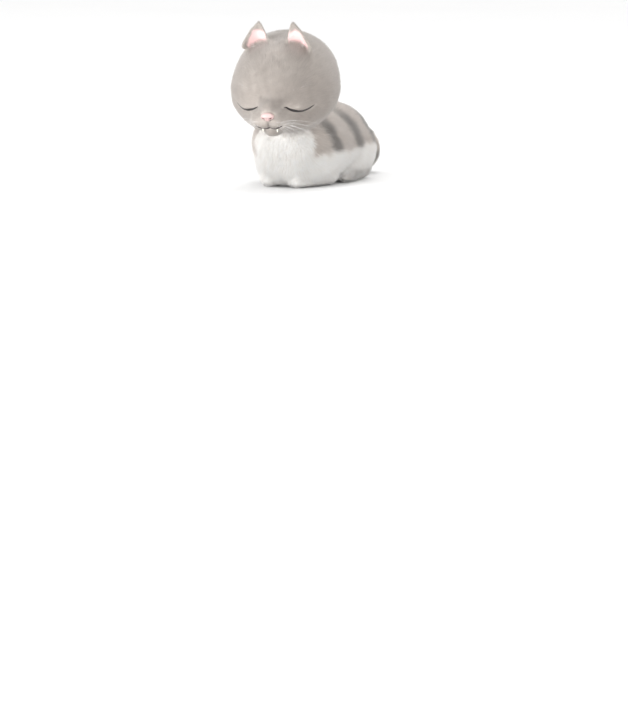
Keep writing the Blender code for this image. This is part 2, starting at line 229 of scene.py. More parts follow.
def rise(low, high, values):
    """0 below low, 1 above high, and smooth between; low may be above high."""
    share = np.clip((values - low) / (high - low), 0, 1)
    return share * share * (3 - 2 * share)


def bump(values, middle, width):
    """1 at the middle, falling smoothly to 0 at half the width from it."""
    return rise(width / 2, 0, np.abs(values - middle))


def ripples(points, size, seed, waves=7):
    """Smooth noise from about -1 to 1, with features of about this size."""
    chance = np.random.default_rng(seed)
    total = np.zeros(len(points))
    shortest, longest = 0.8, 1.6
    gain = 1.6
    for _ in range(waves):
        way = unit(chance.normal(size=3)) * 2 * math.pi / (size * chance.uniform(shortest, longest))
        total += np.sin(points @ way + chance.uniform(0, 2 * math.pi))
    return total / waves * gain


def to_head(points):
    """World points in head widths from the middle of the skull, the face towards -Y."""
    return (points - HEAD_PLACE) @ HEAD_TURN / HEAD


def from_head(points):
    """The other way round."""
    return np.asarray(points) * HEAD @ HEAD_TURN.T + HEAD_PLACE


def head_way(direction):
    """A direction of the head's own frame in the world's."""
    return np.asarray(direction, float) @ HEAD_TURN.T


# -------- meshes


def new_mesh(name, vertices, triangles):
    """A mesh from arrays of vertices and triangles."""
    mesh = bpy.data.meshes.new(name)
    mesh.vertices.add(len(vertices))
    mesh.vertices.foreach_set("co", np.asarray(vertices, np.float32).ravel())
    mesh.loops.add(3 * len(triangles))
    mesh.loops.foreach_set("vertex_index", np.asarray(triangles, np.int32).ravel())
    mesh.polygons.add(len(triangles))
    mesh.polygons.foreach_set("loop_start", np.arange(0, 3 * len(triangles), 3, dtype=np.int32))
    mesh.update(calc_edges=True)
    mesh.shade_smooth()
    return mesh


def added(name, data):
    """A new object in the scene."""
    thing = bpy.data.objects.new(name, data)
    bpy.context.scene.collection.objects.link(thing)
    return thing


def piece(name, mesh, material, slot, *replaced):
    """Adds a mesh to the model as a named piece."""
    thing = added(name, mesh)
    mesh.materials.clear()
    mesh.materials.append(material)
    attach(thing, "root")
    if replaced:
        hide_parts(*replaced)
    return thing


def melted(mesh, voxel, smoothing=0):
    """One closed skin of triangles round everything in the mesh."""
    thing = added("working", mesh)
    remesh = thing.modifiers.new("melt", "REMESH")
    remesh.mode = "VOXEL"
    remesh.voxel_size = voxel
    smooth = thing.modifiers.new("smooth", "SMOOTH")
    smooth.factor = 0.5
    smooth.iterations = smoothing
    thing.modifiers.new("cut", "TRIANGULATE")
    graph = bpy.context.evaluated_depsgraph_get()
    result = bpy.data.meshes.new_from_object(thing.evaluated_get(graph))
    bpy.data.objects.remove(thing)
    return result


def places(mesh):
    """The place of each vertex."""
    points = np.empty(3 * len(mesh.vertices), np.float32)
    mesh.vertices.foreach_get("co", points)
    return points.reshape(-1, 3).astype(float)


def corners(mesh):
    """The vertex numbers of each triangle."""
    numbers = np.empty(3 * len(mesh.polygons), np.int32)
    mesh.loops.foreach_get("vertex_index", numbers)
    return numbers.reshape(-1, 3)


class Skin:
    """A triangle mesh as arrays, with what it takes to shape it."""

    def __init__(self, mesh):
        self.points = places(mesh)
        self.triangles = corners(mesh)
        ends = np.concatenate([self.triangles[:, pair] for pair in ((0, 1), (1, 2), (2, 0))])
        self.ends = np.concatenate([ends, ends[:, ::-1]])
        self.count = np.bincount(self.ends[:, 0], minlength=len(self.points))

    def evened(self, values, rounds, share=1.0):
        """Values of the vertices, averaged with their neighbours' this many times."""
        for _ in range(rounds):
            columns = values if values.ndim == 2 else values[:, None]
            sums = [
                np.bincount(self.ends[:, 0], column[self.ends[:, 1]], len(values))
                for column in columns.T
            ]
            total = np.stack(sums, axis=1) / self.count[:, None]
            total = total if values.ndim == 2 else total[:, 0]
            values = mix(values, total, share)
        return values

    def cross(self):
        """For each triangle its normal, twice as long as its area."""
        a, b, c = (self.points[self.triangles[:, k]] for k in range(3))
        return np.cross(b - a, c - a)

    def normals(self):
        """The normal at each vertex."""
        across = self.cross()
        total = [
            sum(np.bincount(self.triangles[:, k], across[:, axis], len(self.points)) for k in range(3))
            for axis in range(3)
        ]
        return unit(np.stack(total, axis=1))


def flesh_mesh():
    """The CAD's nodes of flesh in one mesh, each swollen so that it overlaps its neighbours."""
    swell = 0.35 * MM
    joined = bmesh.new()
    for name in FLESH + ["nose"]:
        bm = bmesh.new()
        bm.from_mesh(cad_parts[name].data)
        bmesh.ops.remove_doubles(bm, verts=bm.verts, dist=1e-6)
        bmesh.ops.recalc_face_normals(bm, faces=bm.faces)
        bm.normal_update()
        normals = [vertex.normal.copy() for vertex in bm.verts]
        for vertex, normal in zip(bm.verts, normals):
            vertex.co += normal * swell
        mesh = bpy.data.meshes.new("swollen")
        bm.to_mesh(mesh)
        bm.free()
        joined.from_mesh(mesh)
    mesh = bpy.data.meshes.new("flesh")
    joined.to_mesh(mesh)
    joined.free()
    return mesh


def node_of(points):
    """For each point, the name of the CAD node of flesh nearest to it."""
    vertices, faces, owners = [], [], []
    for name in FLESH:
        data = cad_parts[name].data
        start = len(vertices)
        vertices.extend(vertex.co for vertex in data.vertices)
        for polygon in data.polygons:
            faces.append([start + number for number in polygon.vertices])
            owners.append(name)
    tree = BVHTree.FromPolygons(vertices, faces)
    return np.array([owners[tree.find_nearest(Vector(point))[2]] for point in points])


def smooth_route(stops, steps=12):
    """Points along a smooth curve through the stops, by Catmull-Rom."""
    stops = np.asarray(stops, float)
    points = np.vstack([2 * stops[0] - stops[1], stops, 2 * stops[-1] - stops[-2]])
    t = np.arange(steps)[:, None] / steps
    route = [
        (2 * b + (c - a) * t + (2 * a - 5 * b + 4 * c - d) * t**2 + (3 * b - a - 3 * c + d) * t**3) / 2
        for a, b, c, d in zip(points, points[1:], points[2:], points[3:])
    ]
    return np.vstack([*route, stops[-1]])


TAIL_ROUTE = smooth_route(TAIL_STOPS) * BODY


def along_tail(points):
    """For each point, the number of the nearest place on the tail's route and the tail's way there."""
    tree = KDTree(len(TAIL_ROUTE))
    for number, place in enumerate(TAIL_ROUTE):
        tree.insert(place, number)
    tree.balance()
    nearest = np.array([tree.find(point)[1] for point in points])
    ways = unit(np.gradient(TAIL_ROUTE, axis=0))
    return nearest, ways[nearest]


# -------- markings


def faceness(points):
    """1 on the short-haired front of the face, 0 on the cheeks and the crown."""
    local = to_head(points)
    return rise(*FACE_EDGES, np.linalg.norm((local - FACE_MIDDLE) / FACE_STRETCH, axis=1))


def bib_and_belly(points):
    """1 where the coat is white: the lower half of the body, and the breast up to the chin."""
    waver = sum(ripples(points, size, seed) * height for size, seed, height in EDGE_WAVES)
    x, y, z = points.T
    edge = WHITE_HEIGHT + WHITE_RISE * rise(*RISE_ALONG, y)
    low = edge - z + waver
    middle = rise(*BIB_MIDDLE, np.abs(x)) * rise(edge, edge + BIB_FOOT, z)
    shoulder = rise(*PATCH_ACROSS, x) * rise(*PATCH_HEIGHTS, z)
    slanted = BIB_PLACE - BIB_SLANT * (z - edge)
    front = slanted - y + BIB_WIDENING * middle - SHOULDER_PATCH * shoulder + waver
    return rise(-WHITE_EDGE, WHITE_EDGE, np.maximum(low, front))


def bands(points):
    """1 in the dark bands that run down from the spine."""
    size, seed, height = BAND_WAVES
    waver = ripples(points, size, seed) * height
    along = points[:, 1] + BAND_SLANT * (points[:, 2] - FLANK_HEIGHT) + waver
    total = np.zeros(len(points))
    for place in BAND_PLACES:
        total = np.maximum(total, bump(along, place, BAND_WIDTH * BAND_FOOT))
    return np.minimum(BAND_GAIN * total, 1)


def markings(points, weights):
    """The colour of the coat rooted at each point of the skin, given its share of each region."""
    local = to_head(points)
    spine = rise(*SPINE_HEIGHTS, points[:, 2])
    body = blend(GREY, BAND, BAND_STRENGTH * bands(points) * (1 - SPINE_FADE * spine))
    # Painted light: the coat made lighter on the spine.
    body = blend(body, body * SPINE_PAINTED_LIGHT, spine)
    white = np.tile(WHITE, (len(points), 1))
    white = blend(white, SHADED_WHITE, rise(*WHITE_SHADE_ALONG, points[:, 1]))
    body = blend(body, white, bib_and_belly(points))
    muzzle = np.linalg.norm((local - MUZZLE_MIDDLE) / MUZZLE_REACH, axis=1)
    # Painted light: the head's coat gets lighter towards the crown.
    head = blend(HEAD_GREY, CROWN_PAINTED_LIGHT, rise(*CROWN_HEIGHTS, local[:, 2]))
    head = blend(head, MUZZLE, rise(*MUZZLE_EDGE, muzzle))
    turns = TAIL_RINGS * along_tail(points)[0] / len(TAIL_ROUTE)
    tail = blend(GREY, BAND, RING_STRENGTH * rise(*RING_EDGE, np.sin(2 * math.pi * turns)))
    colour = body * (weights["neck"] + weights["trunk"] + weights["hindleg"])[:, None]
    colour += head * (weights["head"] + weights["ear"])[:, None]
    colour += white * weights["foreleg"][:, None]
    colour += tail * weights["tail"][:, None]
    return colour


# -------- the skin

# How many times values are averaged: across sharp and soft borders, and the skin's outer and inner form.
SHARP = 2
SOFT = 10
OUTER_ROUNDS = 4
INNER_ROUNDS = 6


def coat_depth(points, weights):
    """How far the skin lies inside the tips of the coat."""
    depth = sum(weights[region] * DEPTH[region] for region in REGIONS)
    return mix(depth, FACE_DEPTH, faceness(points) * weights["head"]) * MM


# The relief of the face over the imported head, the same on both sides: (x, z) of the middle and the reach
# in head widths, and the height in mm.
FACE_RELIEF = [
    ((0.255, -0.045), (0.160, 0.110), -1.6),  # the hollow round the eye
    ((0.262, -0.055), (0.115, 0.078), 3.0),  # the ball of the eye under its lids
    ((0.130, -0.065), (0.045, 0.045), -0.6),  # the inner corner of the eye
    ((0.000, 0.000), (0.070, 0.150), 0.5),  # the bridge of the nose
    ((0.040, 0.000), (0.150, 0.110), 0.8),  # the brow
    ((0.085, -0.065), (0.050, 0.065), -0.5),  # beside the nose
    ((0.080, -0.168), (0.085, 0.055), 1.7),  # the whisker pad
    ((0.000, -0.275), (0.070, 0.045), 0.8),  # the chin
]
RELIEF_FALL = 1.5  # how fast each form falls off at its reach

# The folds of the face: depth in mm and width in head widths.
EYE_FOLD = (0.9, 0.014)
MOUTH_FOLD = (1.3, 0.016)
PHILTRUM = (1.1, 0.013)
NOSE_BED = 2.0  # depth of the skin's hollow under the nose leather, in mm

# The slits of the eyes and the mouth, and the nose leather, in head widths.
EYE_MIDDLE = 0.262  # how far the middle of each slit is from the middle of the face
EYE_REACH = 0.128  # half the length of the slit
EYE_HEIGHT = -0.058
EYE_SAG = 0.042
EYE_ENDS = {1: (-1.15, 0.78), -1: (-1.0, 1.4)}  # the ends of the left and the right slit, in reaches
MOUTH_REACH = 0.130
MOUTH_HEIGHT = -0.212
MOUTH_SAG = 0.010
MOUTH_RISE = 0.034  # how much higher the corners are
NOSE_PLACE = (0.0, -0.092)  # the middle of the nose leather, as seen from the front
NOSE_REACH = (0.064, 0.044)

# Where the bare rims end and the coat starts, and how far from them it stays short.
NOSE_RIM = (0.92, 1.05)
LID_RIM = (0.006, 0.012)
LIP_RIM = (0.008, 0.016)
NOSE_FUR = (0.9, 0.7)
LID_FUR = 0.055
LIP_FUR = 0.06


def eye_line(share):
    """Across and up along the closed lids of an eye; share is -1 inside and 1 outside."""
    return EYE_MIDDLE + EYE_REACH * share, EYE_HEIGHT - EYE_SAG * (1 - np.minimum(share**2, 1))


def mouth_line(share):
    """The same for half of the mouth; share is 0 in the middle and 1 at the corner."""
    sag = np.sin(math.pi * np.minimum(np.abs(share) * 1.5, 1.0))
    return MOUTH_REACH * share, MOUTH_HEIGHT - MOUTH_SAG * sag + MOUTH_RISE * np.abs(share) ** 2.4


def off_line(local, line, low, high):
    """How far each point is from a line of the face, as seen from the front, in head widths."""
    share = np.linspace(low, high, 41)
    x, z = line(share)
    from_x = np.abs(local[:, 0])[:, None] - x
    from_z = local[:, 2][:, None] - z
    return np.sqrt((from_x**2 + from_z**2).min(axis=1))


def off_eyes(local):
    """How far each point is from the slit of the eye on its side."""
    left, right = (off_line(local, eye_line, *EYE_ENDS[side]) for side in (1, -1))
    return np.where(local[:, 0] > 0, left, right)


def off_mouth(local):
    """The same for the mouth."""
    return off_line(local, mouth_line, 0, 1)


def off_nose(local):
    """How far each point is from the middle of the nose leather, which ends at 1."""
    return np.linalg.norm((local[:, ::2] - NOSE_PLACE) / NOSE_REACH, axis=1)


def in_front(local):
    """1 on the front of the head, 0 behind."""
    return rise(*FRONT_EDGES, local[:, 1])


def fold(away, measures):
    """The depth of a fold of these measures at places this far from it."""
    depth, width = measures
    return depth * np.exp(-(away / width) ** 2)


def shape_face(skin, weights):
    """Raises the forms of the face on the skin and sinks its folds."""
    local = to_head(skin.points)
    x, z = np.abs(local[:, 0]), local[:, 2]
    height = np.zeros(len(x))
    for (across, up), (wide, high), raised in FACE_RELIEF:
        aside, above = ((x - across) / wide) ** 2, ((z - up) / high) ** 2
        height += raised * np.exp(-RELIEF_FALL * aside - RELIEF_FALL * above)
    height -= fold(off_eyes(local), EYE_FOLD)
    height -= fold(off_mouth(local), MOUTH_FOLD)
    under_nose = rise(MOUTH_HEIGHT - 0.01, MOUTH_HEIGHT + 0.01, z) * rise(-0.115, -0.135, z)
    height -= fold(x, PHILTRUM) * under_nose
    height -= NOSE_BED * rise(1.05, 0.75, off_nose(local))
    height *= in_front(local) * weights["head"]
    skin.points = skin.points + skin.normals() * (height * MM)[:, None]


def lie_of_coat(skin):
    """The way the coat lies at each vertex: back from the nose, along the body, down the limbs."""
    points, weights = skin.points, skin.weights
    local = to_head(points)
    side = np.sign(local[:, :1])
    from_nose = head_way(unit(local - NOSE_MIDDLE))
    nape = unit(np.array((0.0, 0.8, -0.6)))
    behind_ears = rise(0.02, 0.40, local[:, 1])
    head = blend(from_nose, nape, behind_ears)
    ear = head_way(np.hstack([0.35 * side, np.zeros_like(side), np.ones_like(side)]))
    on_flank = rise(0.0, 1.0, np.abs(skin.normals()[:, 0]))
    body = np.stack([np.zeros(len(points)), np.ones(len(points)), -0.15 - 0.45 * on_flank], axis=1)
    breast = np.array((0.0, 0.05, -1.0))
    on_breast = rise(-38 * MM, -62 * MM, points[:, 1])
    body = blend(body, breast, on_breast)
    thigh, foot = np.array((0.0, 0.45, -1.0)), np.array((0.0, -1.0, -0.2))
    on_foot = rise(24 * MM, 10 * MM, points[:, 2])
    hindleg = blend(thigh, foot, on_foot)
    foreleg = np.tile((0.0, -0.5, -0.8), (len(points), 1))
    tail = np.zeros_like(points)
    on_tail = weights["tail"] > 0
    tail[on_tail] = along_tail(points[on_tail])[1]
    ways = {
        "head": head, "ear": ear, "neck": body, "trunk": body,
        "foreleg": foreleg, "hindleg": hindleg, "tail": tail,
    }
    total = sum(unit(ways[region]) * weights[region][:, None] for region in REGIONS)
    return skin.evened(total, INNER_ROUNDS)


def finer_face(mesh):
    """The mesh with smaller faces on the front of the head."""
    points = places(mesh)
    near = in_front(to_head(points)) * faceness(points) > 0.02
    bm = bmesh.new()
    bm.from_mesh(mesh)
    bm.verts.ensure_lookup_table()
    edges = [edge for edge in bm.edges if near[edge.verts[0].index] and near[edge.verts[1].index]]
    bmesh.ops.subdivide_edges(bm, edges=edges, cuts=1, use_grid_fill=True)
    bmesh.ops.triangulate(bm, faces=bm.faces)
    bm.to_mesh(mesh)
    bm.free()
    return mesh


def make_skin():
    """The skin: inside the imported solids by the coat's depth, with the face's relief."""
    skin = Skin(finer_face(melted(flesh_mesh(), SKIN_STEP)))
    owner = node_of(skin.points)
    weights = {
        region: skin.evened(np.isin(owner, names).astype(float), SHARP if region == "ear" else SOFT)
        for region, names in REGIONS.items()
    }
    total = sum(weights.values())
    weights = {region: weight / total for region, weight in weights.items()}
    skin.points = skin.evened(skin.points, OUTER_ROUNDS, 0.5)
    normals = skin.evened(skin.normals(), SHARP)
    outer = skin.points.copy()
    depth = coat_depth(skin.points, weights)
    skin.points = skin.points - unit(normals) * depth[:, None]
    skin.points = blend(skin.evened(skin.points, INNER_ROUNDS, 0.5), skin.points, weights["ear"])
    shape_face(skin, weights)
    skin.owner, skin.weights = owner, weights
    skin.depth = np.maximum(dot(outer - skin.points, skin.normals()), LEAST_DEPTH)
    skin.lie = lie_of_coat(skin)
    skin.pink = inside_ear(skin)
    skin.marks = blend(markings(skin.points, weights), INNER_EAR, skin.pink)
    return skin


def ear_half(up):
    """Half the width of an ear at this share of its height."""
    power, root = EAR_TAPER
    start, widening = EAR_FOOT
    return EAR_WIDTH / 2 * (1 - up**power) ** root * np.minimum(1, start + widening * up)


def to_ear(points):
    """Places on the ears: how far out across the ear, from -1 to 1 at its edges, and how far up it."""
    local = to_head(points)
    local[:, 0] = np.abs(local[:, 0])
    local = (local - EAR_PLACE) * HEAD @ EAR_STAND
    up = np.clip(local[:, 2] / EAR_HEIGHT, 0, 1)
    return (local[:, 0] - EAR_TIP_LEAN * up**2) / (ear_half(up) + EAR_EDGE), up


def inside_ear(skin):
    """1 on the bare inner side of the ears, away from their furry rims."""
    side = np.sign(to_head(skin.points)[:, :1])
    front = head_way(np.hstack([-0.21 * side, -0.97 * np.ones_like(side), np.zeros_like(side)]))
    facing = rise(0.0, 0.3, dot(skin.normals(), front)) * (skin.weights["ear"] > 0.5)
    across, up = to_ear(skin.points)
    waver = ripples(skin.points, 5 * MM, 21) * 0.04
    outside = rise(0.72, 0.56, across + waver)
    inside = rise(-0.92, -0.80, across + waver)
    top = rise(0.76, 0.66, up + waver)
    return skin.evened(facing, 1) * (outside * inside * top)


# -------- the coat


def scattered(skin, chosen, density, chance):
    """Roots of tufts spread over the chosen triangles: which triangle, and the shares of its corners."""
    area = np.linalg.norm(skin.cross(), axis=1) / 2
    wanted = area * density[skin.triangles].mean(axis=1) * chosen
    reach = np.cumsum(wanted)
    count = int(reach[-1])
    at = (np.arange(count) + chance.uniform(size=count)) * reach[-1] / count
    triangle = np.searchsorted(reach, at).clip(max=len(reach) - 1)
    a, b = np.sqrt(chance.uniform(size=count)), chance.uniform(size=count)
    return triangle, np.stack([1 - a, a * (1 - b), a * b], axis=1)


def unfolded(directions):
    """Directions from the middle of a rounded form, laid out on a square as an octahedron unfolds."""
    flat = directions / np.abs(directions).sum(axis=1, keepdims=True)
    turned = (1 - np.abs(flat[:, 1::-1])) * np.where(flat[:, :2] >= 0, 1, -1)
    return np.where(flat[:, 2:] >= 0, flat[:, :2], turned)


def unwrap(kind, points, normals):
    """The skin's own shape laid out flat: a place from 0 to 1 each way for each root."""
    if kind == "tail":
        nearest, ways = along_tail(points)
        out = points - TAIL_ROUTE[nearest]
        level = unit(np.cross(ways, UP))
        above = np.cross(level, ways)
        around = np.arctan2(dot(out, above), dot(out, level))
        flat = np.stack([around, nearest], axis=1)
    elif kind == "ear":
        local = to_head(points)
        front = head_way((0.0, -1.0, 0.0))
        beside = np.ptp(local[:, 0]) * 1.05
        flat = np.stack([local[:, 0] + np.where(normals @ front > 0, 0.0, beside), local[:, 2]], axis=1)
    else:
        low, high = points.min(axis=0), points.max(axis=0)
        flat = unfolded((points - (low + high) / 2) / (high - low))
    low, high = flat.min(axis=0), flat.max(axis=0)
    return MARGIN + (1 - 2 * MARGIN) * (flat - low) / (high - low)


def grown(root, normal, lie, height, length, width, bend):
    """The corners of the tufts, four rows to each: three at its foot in the skin, and its tip."""
    side = unit(np.cross(lie, normal))
    reach = np.sqrt(np.maximum(length**2 - height**2, (LEAST_REACH * length) ** 2))
    foot = root - normal * ROOT_SINK
    low = [
        foot + side * (width * across)[:, None] + normal * (width * up)[:, None]
        for across, up in TUFT_FOOT
    ]
    tip = root + lie * reach[:, None] + side * bend[:, None] + normal * height[:, None]
    return np.stack([*low, tip], axis=1)


def coat(name, nodes, slot, kind="round", side=0, seed=1):
    """One piece of the coat: the tufts rooted on the skin of these CAD nodes, on one side or on both."""
    chance = np.random.default_rng(seed)
    chosen = np.isin(skin.owner, nodes)[skin.triangles[:, 0]]
    middles = skin.points[skin.triangles].mean(axis=1)
    if side:
        across = to_head(middles)[:, 0] if kind == "head" else middles[:, 0]
        chosen &= across * side > 0
    chosen &= middles[:, 2] > LOWEST_ROOT
    face = faceness(skin.points) * skin.weights["head"]
    length, width, density = (
        mix(sum(skin.weights[region] * TUFTS[region][k] for region in REGIONS), TUFTS["face"][k], face)
        for k in range(3)
    )
    density = density * (1 - skin.pink) * bare(skin.points)
    triangle, shares = scattered(skin, chosen, density / MM**2, chance)

    def at_roots(values):
        """Values of the skin's vertices at the roots."""
        rows = values[skin.triangles[triangle]]
        weight = shares[:, :, None] if rows.ndim == 3 else shares
        return (rows * weight).sum(axis=1)

    count = len(triangle)
    root, normal = at_roots(skin.points), unit(at_roots(skin.normals()))
    lie = at_roots(skin.lie)
    stray = [ripples(root, size * MM, seed + k, 5) for k, size in enumerate((9, 10, 11))]
    lie = unit(lie) + LOCK_TURN * np.stack(stray, axis=1)
    lie = lie + chance.normal(scale=TUFT_TURN, size=(count, 3))
    lie = unit(lie - normal * dot(lie, normal)[:, None])
    length = at_roots(length * shortening(skin.points)) * MM * chance.uniform(*LENGTH_RANGE, count)
    length *= 1 + LENGTH_WAVE * ripples(root, 13 * MM, 40)
    length *= mix(LOW_COAT, 1.0, rise(*LOW_COAT_HEIGHTS, root[:, 2]))
    width = at_roots(width) * MM * chance.uniform(*WIDTH_RANGE, count)
    height = at_roots(skin.depth) * chance.uniform(*HEIGHT_RANGE, count)
    height = np.minimum(height, STEEPEST * length)
    bend = chance.normal(scale=TUFT_BEND, size=count) * length
    points = grown(root, normal, lie, height, length, width, bend)
    points[:, :, 2] = np.maximum(points[:, :, 2], FLOOR_CLEARANCE)
    numbers = (TUFT_FACES + len(TUFT_ALONG) * np.arange(count)[:, None, None]).reshape(-1, 3)
    mesh = new_mesh(name, points.reshape(-1, 3), numbers)
    facing = normal[:, None, :] + TIP_TURN * TUFT_ALONG[:, None] * lie[:, None, :]
    soften_shading(mesh, unit(facing).reshape(-1, 3))
    variation = 1 + chance.normal(scale=TUFT_TINT, size=count) + LOCK_TINT * ripples(root, 5 * MM, 44)
    tint = at_roots(skin.marks) * variation[:, None]
    shade = mix(ROOT_SHADE, TIP_SHADE, TUFT_ALONG)
    paint(mesh, (tint[:, None, :] * shade[None, :, None]).clip(0, 1).reshape(-1, 3))
    patch = PATCH * np.stack([TUFT_ACROSS, TUFT_ALONG - 0.5], axis=1)
    flat = unwrap(kind, root, normal)[:, None, :] + patch
    layer = mesh.uv_layers.new(name="OFBake")
    layer.data.foreach_set("uv", flat.reshape(-1, 2)[numbers.ravel()].astype(np.float32).ravel())
    return piece(name, mesh, FUR, slot)


def soften_shading(mesh, skin_normals):
    """Shades tufts mostly as the skin under them faces, so that the coat reads as one soft surface."""
    own = np.empty(3 * len(mesh.vertices), np.float32)
    mesh.vertices.foreach_get("normal", own)
    mesh.normals_split_custom_set_from_vertices(unit(mix(own.reshape(-1, 3), skin_normals, SOFTNESS)))


def bare(points):
    """0 on the bare places that the coat leaves free, 1 elsewhere."""
    local = to_head(points)
    free = rise(*NOSE_RIM, off_nose(local))
    free = np.minimum(free, rise(*LID_RIM, off_eyes(local)))
    free = np.minimum(free, rise(*LIP_RIM, off_mouth(local)))
    return mix(1.0, free, in_front(local))


def shortening(points):
    """How much shorter the coat is beside the lids, the mouth and the nose, as a share."""
    local = to_head(points)
    start, reach = NOSE_FUR
    away = np.minimum(off_eyes(local) / LID_FUR, off_mouth(local) / LIP_FUR)
    away = np.minimum(away, (off_nose(local) - start) / reach)
    return mix(1.0, mix(CLOSE_COAT, 1.0, rise(0.0, 1.0, away)), in_front(local))


# -------- the bare and hard parts


def strand(points, radii, sides=6):
    """A closed tube along the points with a radius at each, which narrows to both its ends."""
    points, radii = np.asarray(points, float), np.asarray(radii, float)
    ways = unit(np.gradient(points, axis=0))
    askew = UP + (0.3, 0.1, 0)  # along no strand
    first = unit(np.cross(ways[0], askew))
    rings = []
    for point, way, radius in zip(points, ways, radii):
        first = unit(first - way * dot(first, way))
        second = np.cross(way, first)
        turn = np.arange(sides)[:, None] * 2 * math.pi / sides
        rings.append(point + radius * (np.cos(turn) * first + np.sin(turn) * second))
    ends = np.stack([points[0] - ways[0] * radii[0], points[-1] + ways[-1] * radii[-1]])
    vertices = np.vstack([*rings, ends])
    start, last, count = len(vertices) - 2, len(vertices) - 1, len(points)
    triangles = []
    for k in range(sides):
        after = (k + 1) % sides
        triangles.append((start, after, k))
        for ring in range(count - 1):
            a, b = ring * sides + k, ring * sides + after
            triangles += [(a, b, b + sides), (a, b + sides, a + sides)]
        triangles.append((last, (count - 1) * sides + k, (count - 1) * sides + after))
    return vertices, np.array(triangles)


def joined(strands):
    """Several strands as one list of vertices and one of triangles."""
    start, vertices, triangles = 0, [], []
    for points, faces in strands:
        vertices.append(points)
        triangles.append(faces + start)
        start += len(points)
    return np.vstack(vertices), np.vstack(triangles)


def on_face(across, up):
    """The points of the skin straight behind places on the face's front, and the normals there."""
    found = []
    for x, z in zip(across, up):
        start = Vector(from_head(np.array((x, -1.0, z))))
        hit, normal, _, _ = SKIN_TREE.ray_cast(start, Vector(head_way((0.0, 1.0, 0.0))))
        found.append((*hit, *normal))
    found = np.array(found)
    return found[:, :3], found[:, 3:]


def face_line(line, low, high, side, radius, proud, count=30):
    """A fine raised line along the face that narrows to its ends."""
    share = np.linspace(low, high, count)
    across, up = line(share)
    points, normals = on_face(across * side, up)
    points = points + normals * proud
    least = 0.12
    taper = (1 - np.abs(np.linspace(-1, 1, count)) ** 2.2) ** 0.7 + least
    return strand(points, radius * taper, 8)


SIDES = (("left", 1), ("right", -1))
LID_RADIUS = 1.0 * MM
LID_PROUD = 0.40 * MM
LIP_RADIUS = 0.75 * MM
LIP_PROUD = 0.25 * MM
TOOTH_RADIUS = 1.4 * MM
TOOTH_POINT = 0.12 * MM
TOOTH_CURVE = 0.6 * MM
TOOTH_SHIFT = np.array((0.0, -0.9, 0.54)) * MM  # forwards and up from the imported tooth, into the lip


def eyelids():
    """The dark edges of the closed lids."""
    for word, side in SIDES:
        line = face_line(eye_line, *EYE_ENDS[side], side, LID_RADIUS, LID_PROUD)
        piece(f"eyelids_{word}", new_mesh(f"eyelids_{word}", *line), LID, "coat_grey")


def mouth():
    """The dark edges of the lips, from one corner of the mouth to the other."""
    start = -0.05  # a little over the middle, so that the halves meet
    halves = [face_line(mouth_line, start, 1, side, LIP_RADIUS, LIP_PROUD) for _, side in SIDES]
    piece("lips", new_mesh("lips", *joined(halves)), LIP, "skin_pink")


def canines():
    """The tips of the upper canines, curved a little backwards, under the edge of the lip."""
    for word, _ in SIDES:
        low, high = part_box(f"canine_{word}")
        middle = np.array((low + high) / 2)
        share = np.linspace(0, 1, 12)
        length = (high - low).z
        points = middle + np.outer(0.5 - share, UP) * length
        points += np.outer(share**2, head_way((0.0, 1.0, 0.0))) * TOOTH_CURVE
        points += head_way(TOOTH_SHIFT)
        radii = TOOTH_RADIUS * (1 - share) ** 0.75 + TOOTH_POINT
        mesh = new_mesh(f"canine_tooth_{word}", *strand(points, radii, 16))
        piece(f"canine_tooth_{word}", mesh, ENAMEL, "tooth_white", f"canine_{word}")


# The nose leather, in head widths: middle and half sizes. Forms off the middle are made on both sides.
NOSE_FORMS = [
    ((0.000, -0.586, -0.078), (0.054, 0.036, 0.024)),
    ((0.034, -0.580, -0.090), (0.026, 0.034, 0.024)),
    ((0.000, -0.582, -0.108), (0.024, 0.030, 0.026)),
]
NOSTRIL = ((0.034, -0.099), (0.014, 0.007))  # middle and reach, across and up
NOSTRIL_LEAN = 0.5
NOSTRIL_DEPTH = 1.6
GROOVE_DEPTH = 0.5
GROOVE_WIDTH = 0.006
NOSE_VOXEL = 0.35 * MM


def nose():
    """The nose leather: a rounded wedge with two nostrils."""
    bm = bmesh.new()
    turn = Matrix(HEAD_TURN.tolist()).to_4x4()
    for middle, half in NOSE_FORMS:
        for side in (1, -1) if middle[0] else (1,):
            place = Matrix.Translation(Vector(from_head(np.array(middle) * (side, 1, 1))))
            size = Matrix.Diagonal((*(np.array(half) * HEAD), 1))
            bmesh.ops.create_icosphere(bm, subdivisions=4, radius=1, matrix=place @ turn @ size)
    mesh = bpy.data.meshes.new("nose_forms")
    bm.to_mesh(mesh)
    bm.free()
    form = Skin(melted(mesh, NOSE_VOXEL, INNER_ROUNDS))
    local = to_head(form.points)
    (across, up), (wide, high) = NOSTRIL
    aside = np.abs(local[:, 0]) - across
    lean = aside * NOSTRIL_LEAN
    hole = np.exp(-(aside / wide) ** 2 - ((local[:, 2] - up - lean) / high) ** 2)
    groove = np.exp(-(local[:, 0] / GROOVE_WIDTH) ** 2) * rise(-0.085, -0.105, local[:, 2])
    depth = (NOSTRIL_DEPTH * hole + GROOVE_DEPTH * groove) * MM
    form.points = form.points + np.outer(depth, head_way((0.0, 1.0, 0.15)))
    mesh = new_mesh("nose_leather", form.points, form.triangles)
    # Painted shade: the nostrils and the groove are darkened where their dents lie in shadow.
    dark = np.clip(hole * 1.3 + 0.35 * groove, 0, 1)
    paint(mesh, blend(np.tile(NOSE_PINK, (len(local), 1)), NOSE_PAINTED_SHADE, dark))
    piece("nose_leather", mesh, LEATHER, "skin_pink", "nose")


